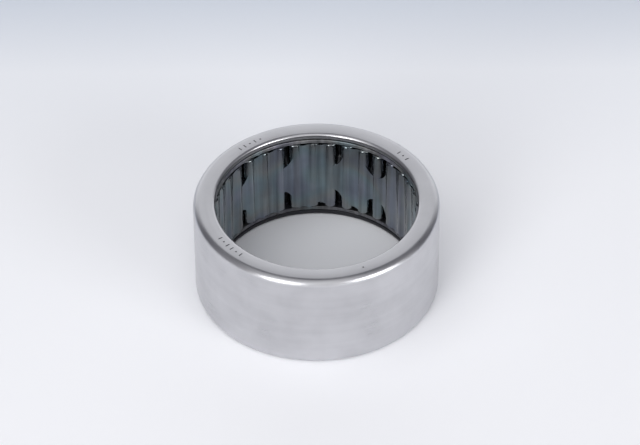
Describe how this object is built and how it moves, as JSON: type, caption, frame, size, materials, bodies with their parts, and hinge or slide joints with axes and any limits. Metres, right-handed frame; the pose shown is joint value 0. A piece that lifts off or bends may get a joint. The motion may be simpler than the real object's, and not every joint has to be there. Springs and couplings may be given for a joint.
{
  "type": "needle roller bearing",
  "caption": "Drawn-cup needle roller bearing, open at both ends: a thin pressed steel cup with turned-in lips holds a waisted cage and one row of needle rollers.",
  "frame": {"origin": "centre of the lower end face, on the bearing's axis", "axes": "+Z along the bearing's axis, from the lower end face to the upper one"},
  "size_m": [0.0508, 0.0508, 0.0222],
  "materials": {
    "cup_steel": "satin case-hardened steel with fine turning marks, softly reflective",
    "cage_steel": "dark blue-grey pressed steel wet with oil",
    "roller_steel": "polished ground steel under a film of oil"
  },
  "bodies": {
    "cup": {"drawn_cup": "cup_steel"},
    "cage": {"roller_cage": "cage_steel"},
    "roller_01": {"needle_roller_01": "roller_steel"},
    "roller_02": {"needle_roller_02": "roller_steel"},
    "roller_03": {"needle_roller_03": "roller_steel"},
    "roller_04": {"needle_roller_04": "roller_steel"},
    "roller_05": {"needle_roller_05": "roller_steel"},
    "roller_06": {"needle_roller_06": "roller_steel"},
    "roller_07": {"needle_roller_07": "roller_steel"},
    "roller_08": {"needle_roller_08": "roller_steel"},
    "roller_09": {"needle_roller_09": "roller_steel"},
    "roller_10": {"needle_roller_10": "roller_steel"},
    "roller_11": {"needle_roller_11": "roller_steel"},
    "roller_12": {"needle_roller_12": "roller_steel"},
    "roller_13": {"needle_roller_13": "roller_steel"},
    "roller_14": {"needle_roller_14": "roller_steel"},
    "roller_15": {"needle_roller_15": "roller_steel"},
    "roller_16": {"needle_roller_16": "roller_steel"},
    "roller_17": {"needle_roller_17": "roller_steel"},
    "roller_18": {"needle_roller_18": "roller_steel"},
    "roller_19": {"needle_roller_19": "roller_steel"},
    "roller_20": {"needle_roller_20": "roller_steel"},
    "roller_21": {"needle_roller_21": "roller_steel"},
    "roller_22": {"needle_roller_22": "roller_steel"},
    "roller_23": {"needle_roller_23": "roller_steel"},
    "roller_24": {"needle_roller_24": "roller_steel"},
    "roller_25": {"needle_roller_25": "roller_steel"},
    "roller_26": {"needle_roller_26": "roller_steel"},
    "roller_27": {"needle_roller_27": "roller_steel"},
    "roller_28": {"needle_roller_28": "roller_steel"},
    "roller_29": {"needle_roller_29": "roller_steel"},
    "roller_30": {"needle_roller_30": "roller_steel"},
    "roller_31": {"needle_roller_31": "roller_steel"},
    "roller_32": {"needle_roller_32": "roller_steel"},
    "roller_33": {"needle_roller_33": "roller_steel"},
    "roller_34": {"needle_roller_34": "roller_steel"},
    "roller_35": {"needle_roller_35": "roller_steel"},
    "roller_36": {"needle_roller_36": "roller_steel"},
    "roller_37": {"needle_roller_37": "roller_steel"}
  },
  "joints": [
    {"name": "cage_spin", "type": "hinge", "parent": "cup", "child": "cage", "pos_m": [0, 0, 0.01096], "axis": [0, 0, 1], "continuous": true},
    {"name": "roller_01_spin", "type": "hinge", "parent": "cage", "child": "roller_01", "pos_m": [0.02216, 0.00171, 0.01096], "axis": [0, 0, 1], "continuous": true},
    {"name": "roller_02_spin", "type": "hinge", "parent": "cage", "child": "roller_02", "pos_m": [0.02155, 0.00543, 0.01096], "axis": [0, 0, 1], "continuous": true},
    {"name": "roller_03_spin", "type": "hinge", "parent": "cage", "child": "roller_03", "pos_m": [0.02033, 0.00899, 0.01096], "axis": [0, 0, 1], "continuous": true},
    {"name": "roller_04_spin", "type": "hinge", "parent": "cage", "child": "roller_04", "pos_m": [0.01851, 0.0123, 0.01096], "axis": [0, 0, 1], "continuous": true},
    {"name": "roller_05_spin", "type": "hinge", "parent": "cage", "child": "roller_05", "pos_m": [0.01617, 0.01525, 0.01096], "axis": [0, 0, 1], "continuous": true},
    {"name": "roller_06_spin", "type": "hinge", "parent": "cage", "child": "roller_06", "pos_m": [0.01336, 0.01776, 0.01096], "axis": [0, 0, 1], "continuous": true},
    {"name": "roller_07_spin", "type": "hinge", "parent": "cage", "child": "roller_07", "pos_m": [0.01017, 0.01976, 0.01096], "axis": [0, 0, 1], "continuous": true},
    {"name": "roller_08_spin", "type": "hinge", "parent": "cage", "child": "roller_08", "pos_m": [0.00668, 0.0212, 0.01096], "axis": [0, 0, 1], "continuous": true},
    {"name": "roller_09_spin", "type": "hinge", "parent": "cage", "child": "roller_09", "pos_m": [0.003, 0.02202, 0.01096], "axis": [0, 0, 1], "continuous": true},
    {"name": "roller_10_spin", "type": "hinge", "parent": "cage", "child": "roller_10", "pos_m": [-0.00076, 0.02221, 0.01096], "axis": [0, 0, 1], "continuous": true},
    {"name": "roller_11_spin", "type": "hinge", "parent": "cage", "child": "roller_11", "pos_m": [-0.00451, 0.02176, 0.01096], "axis": [0, 0, 1], "continuous": true},
    {"name": "roller_12_spin", "type": "hinge", "parent": "cage", "child": "roller_12", "pos_m": [-0.00812, 0.02069, 0.01096], "axis": [0, 0, 1], "continuous": true},
    {"name": "roller_13_spin", "type": "hinge", "parent": "cage", "child": "roller_13", "pos_m": [-0.0115, 0.01902, 0.01096], "axis": [0, 0, 1], "continuous": true},
    {"name": "roller_14_spin", "type": "hinge", "parent": "cage", "child": "roller_14", "pos_m": [-0.01455, 0.0168, 0.01096], "axis": [0, 0, 1], "continuous": true},
    {"name": "roller_15_spin", "type": "hinge", "parent": "cage", "child": "roller_15", "pos_m": [-0.01718, 0.0141, 0.01096], "axis": [0, 0, 1], "continuous": true},
    {"name": "roller_16_spin", "type": "hinge", "parent": "cage", "child": "roller_16", "pos_m": [-0.01931, 0.011, 0.01096], "axis": [0, 0, 1], "continuous": true},
    {"name": "roller_17_spin", "type": "hinge", "parent": "cage", "child": "roller_17", "pos_m": [-0.02089, 0.00757, 0.01096], "axis": [0, 0, 1], "continuous": true},
    {"name": "roller_18_spin", "type": "hinge", "parent": "cage", "child": "roller_18", "pos_m": [-0.02187, 0.00393, 0.01096], "axis": [0, 0, 1], "continuous": true},
    {"name": "roller_19_spin", "type": "hinge", "parent": "cage", "child": "roller_19", "pos_m": [-0.02222, 0.00018, 0.01096], "axis": [0, 0, 1], "continuous": true},
    {"name": "roller_20_spin", "type": "hinge", "parent": "cage", "child": "roller_20", "pos_m": [-0.02194, -0.00358, 0.01096], "axis": [0, 0, 1], "continuous": true},
    {"name": "roller_21_spin", "type": "hinge", "parent": "cage", "child": "roller_21", "pos_m": [-0.02101, -0.00723, 0.01096], "axis": [0, 0, 1], "continuous": true},
    {"name": "roller_22_spin", "type": "hinge", "parent": "cage", "child": "roller_22", "pos_m": [-0.01949, -0.01068, 0.01096], "axis": [0, 0, 1], "continuous": true},
    {"name": "roller_23_spin", "type": "hinge", "parent": "cage", "child": "roller_23", "pos_m": [-0.0174, -0.01382, 0.01096], "axis": [0, 0, 1], "continuous": true},
    {"name": "roller_24_spin", "type": "hinge", "parent": "cage", "child": "roller_24", "pos_m": [-0.01482, -0.01656, 0.01096], "axis": [0, 0, 1], "continuous": true},
    {"name": "roller_25_spin", "type": "hinge", "parent": "cage", "child": "roller_25", "pos_m": [-0.01181, -0.01883, 0.01096], "axis": [0, 0, 1], "continuous": true},
    {"name": "roller_26_spin", "type": "hinge", "parent": "cage", "child": "roller_26", "pos_m": [-0.00845, -0.02055, 0.01096], "axis": [0, 0, 1], "continuous": true},
    {"name": "roller_27_spin", "type": "hinge", "parent": "cage", "child": "roller_27", "pos_m": [-0.00486, -0.02169, 0.01096], "axis": [0, 0, 1], "continuous": true},
    {"name": "roller_28_spin", "type": "hinge", "parent": "cage", "child": "roller_28", "pos_m": [-0.00112, -0.0222, 0.01096], "axis": [0, 0, 1], "continuous": true},
    {"name": "roller_29_spin", "type": "hinge", "parent": "cage", "child": "roller_29", "pos_m": [0.00264, -0.02207, 0.01096], "axis": [0, 0, 1], "continuous": true},
    {"name": "roller_30_spin", "type": "hinge", "parent": "cage", "child": "roller_30", "pos_m": [0.00634, -0.0213, 0.01096], "axis": [0, 0, 1], "continuous": true},
    {"name": "roller_31_spin", "type": "hinge", "parent": "cage", "child": "roller_31", "pos_m": [0.00984, -0.01993, 0.01096], "axis": [0, 0, 1], "continuous": true},
    {"name": "roller_32_spin", "type": "hinge", "parent": "cage", "child": "roller_32", "pos_m": [0.01307, -0.01798, 0.01096], "axis": [0, 0, 1], "continuous": true},
    {"name": "roller_33_spin", "type": "hinge", "parent": "cage", "child": "roller_33", "pos_m": [0.01592, -0.01551, 0.01096], "axis": [0, 0, 1], "continuous": true},
    {"name": "roller_34_spin", "type": "hinge", "parent": "cage", "child": "roller_34", "pos_m": [0.01831, -0.01259, 0.01096], "axis": [0, 0, 1], "continuous": true},
    {"name": "roller_35_spin", "type": "hinge", "parent": "cage", "child": "roller_35", "pos_m": [0.02018, -0.00932, 0.01096], "axis": [0, 0, 1], "continuous": true},
    {"name": "roller_36_spin", "type": "hinge", "parent": "cage", "child": "roller_36", "pos_m": [0.02146, -0.00577, 0.01096], "axis": [0, 0, 1], "continuous": true},
    {"name": "roller_37_spin", "type": "hinge", "parent": "cage", "child": "roller_37", "pos_m": [0.02213, -0.00206, 0.01096], "axis": [0, 0, 1], "continuous": true}
  ],
  "couplings": [
    {"joint": "roller_01_spin", "follows": "cage_spin", "ratio": -15},
    {"joint": "roller_02_spin", "follows": "cage_spin", "ratio": -15},
    {"joint": "roller_03_spin", "follows": "cage_spin", "ratio": -15},
    {"joint": "roller_04_spin", "follows": "cage_spin", "ratio": -15},
    {"joint": "roller_05_spin", "follows": "cage_spin", "ratio": -15},
    {"joint": "roller_06_spin", "follows": "cage_spin", "ratio": -15},
    {"joint": "roller_07_spin", "follows": "cage_spin", "ratio": -15},
    {"joint": "roller_08_spin", "follows": "cage_spin", "ratio": -15},
    {"joint": "roller_09_spin", "follows": "cage_spin", "ratio": -15},
    {"joint": "roller_10_spin", "follows": "cage_spin", "ratio": -15},
    {"joint": "roller_11_spin", "follows": "cage_spin", "ratio": -15},
    {"joint": "roller_12_spin", "follows": "cage_spin", "ratio": -15},
    {"joint": "roller_13_spin", "follows": "cage_spin", "ratio": -15},
    {"joint": "roller_14_spin", "follows": "cage_spin", "ratio": -15},
    {"joint": "roller_15_spin", "follows": "cage_spin", "ratio": -15},
    {"joint": "roller_16_spin", "follows": "cage_spin", "ratio": -15},
    {"joint": "roller_17_spin", "follows": "cage_spin", "ratio": -15},
    {"joint": "roller_18_spin", "follows": "cage_spin", "ratio": -15},
    {"joint": "roller_19_spin", "follows": "cage_spin", "ratio": -15},
    {"joint": "roller_20_spin", "follows": "cage_spin", "ratio": -15},
    {"joint": "roller_21_spin", "follows": "cage_spin", "ratio": -15},
    {"joint": "roller_22_spin", "follows": "cage_spin", "ratio": -15},
    {"joint": "roller_23_spin", "follows": "cage_spin", "ratio": -15},
    {"joint": "roller_24_spin", "follows": "cage_spin", "ratio": -15},
    {"joint": "roller_25_spin", "follows": "cage_spin", "ratio": -15},
    {"joint": "roller_26_spin", "follows": "cage_spin", "ratio": -15},
    {"joint": "roller_27_spin", "follows": "cage_spin", "ratio": -15},
    {"joint": "roller_28_spin", "follows": "cage_spin", "ratio": -15},
    {"joint": "roller_29_spin", "follows": "cage_spin", "ratio": -15},
    {"joint": "roller_30_spin", "follows": "cage_spin", "ratio": -15},
    {"joint": "roller_31_spin", "follows": "cage_spin", "ratio": -15},
    {"joint": "roller_32_spin", "follows": "cage_spin", "ratio": -15},
    {"joint": "roller_33_spin", "follows": "cage_spin", "ratio": -15},
    {"joint": "roller_34_spin", "follows": "cage_spin", "ratio": -15},
    {"joint": "roller_35_spin", "follows": "cage_spin", "ratio": -15},
    {"joint": "roller_36_spin", "follows": "cage_spin", "ratio": -15},
    {"joint": "roller_37_spin", "follows": "cage_spin", "ratio": -15}
  ]
}
